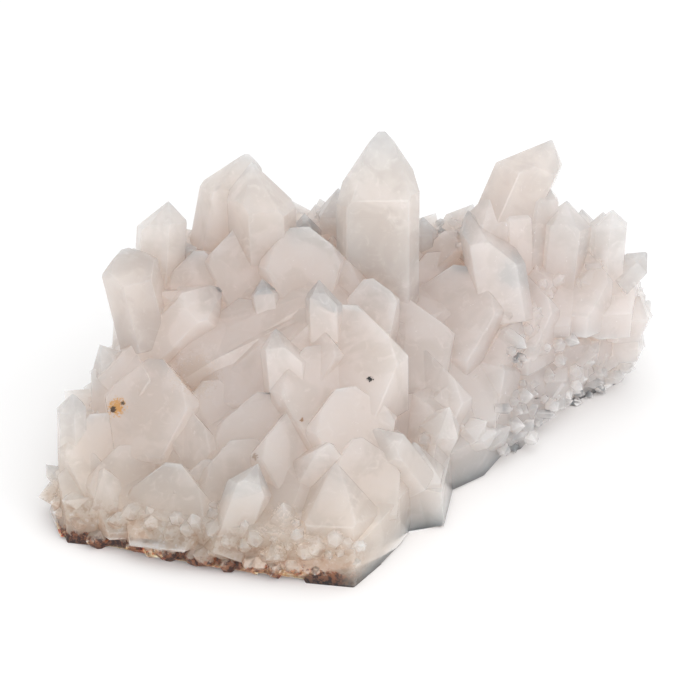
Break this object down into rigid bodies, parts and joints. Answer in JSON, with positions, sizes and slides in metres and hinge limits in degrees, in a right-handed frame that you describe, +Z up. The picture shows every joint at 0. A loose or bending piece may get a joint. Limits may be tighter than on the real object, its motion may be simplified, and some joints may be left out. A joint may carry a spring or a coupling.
{
  "type": "quartz crystal cluster",
  "caption": "Natural cluster of milky and clear quartz crystals grown together, sawn flat below so that it stands on a surface as an ornament.",
  "frame": {"origin": "middle of the bounding box, on the flat underside", "axes": "+X along the cluster's longest side, towards the viewer's right from the front; +Y to the back; +Z up, along the tall crystals"},
  "size_m": [0.156, 0.1096, 0.0777],
  "materials": {
    "milky_quartz": "natural crystal faces, cloudy quartz, clear towards the tips, brown stain along the lower front edge"
  },
  "bodies": {
    "root": {"quartz_cluster": "milky_quartz"}
  },
  "joints": []
}
